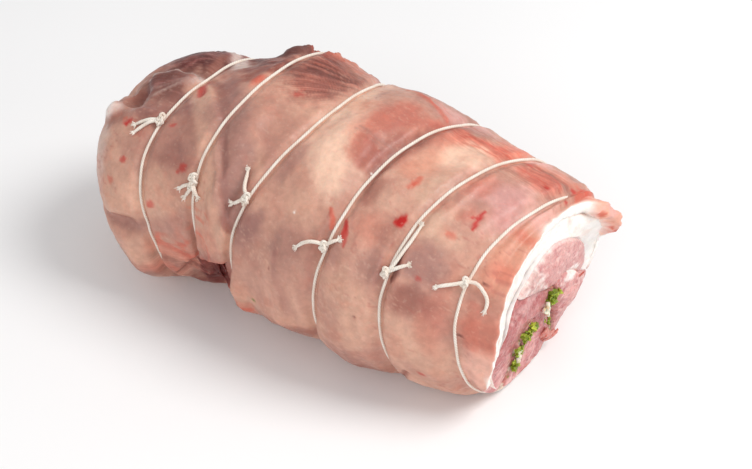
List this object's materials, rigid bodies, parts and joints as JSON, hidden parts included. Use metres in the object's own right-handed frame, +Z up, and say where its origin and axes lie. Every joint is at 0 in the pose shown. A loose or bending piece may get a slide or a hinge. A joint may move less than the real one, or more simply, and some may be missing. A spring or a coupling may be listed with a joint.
{
  "type": "lamb roast",
  "caption": "Raw boned and rolled lamb roast: flesh and fat wrapped round lean meat and herb stuffing, tied with loops of kitchen twine, one end cut flat.",
  "frame": {"origin": "middle of the roast's footprint, on the surface it rests on", "axes": "+X along the roast towards its cut end, -Y the near side with the knots, +Z up"},
  "size_m": [0.247, 0.1362, 0.1056],
  "materials": {
    "outer_flesh": "moist raw flesh and fell with pale fat, satin",
    "white_fat": "firm white fat, satin",
    "pale_lean": "moist pale pink lean, satin",
    "lean": "moist raw lean meat, satin",
    "herbs": "chopped parsley with garlic, matt",
    "twine": "natural cotton, matt"
  },
  "bodies": {
    "root": {"outer_layer": "outer_flesh", "fat_layer": "white_fat", "eye_muscle": "pale_lean", "near_lean": "lean", "far_lean": "lean", "herb_filling_1": "herbs", "herb_filling_2": "herbs", "string_1": "twine", "string_2": "twine", "string_3": "twine", "string_4": "twine", "string_5": "twine", "string_6": "twine"}
  },
  "joints": []
}
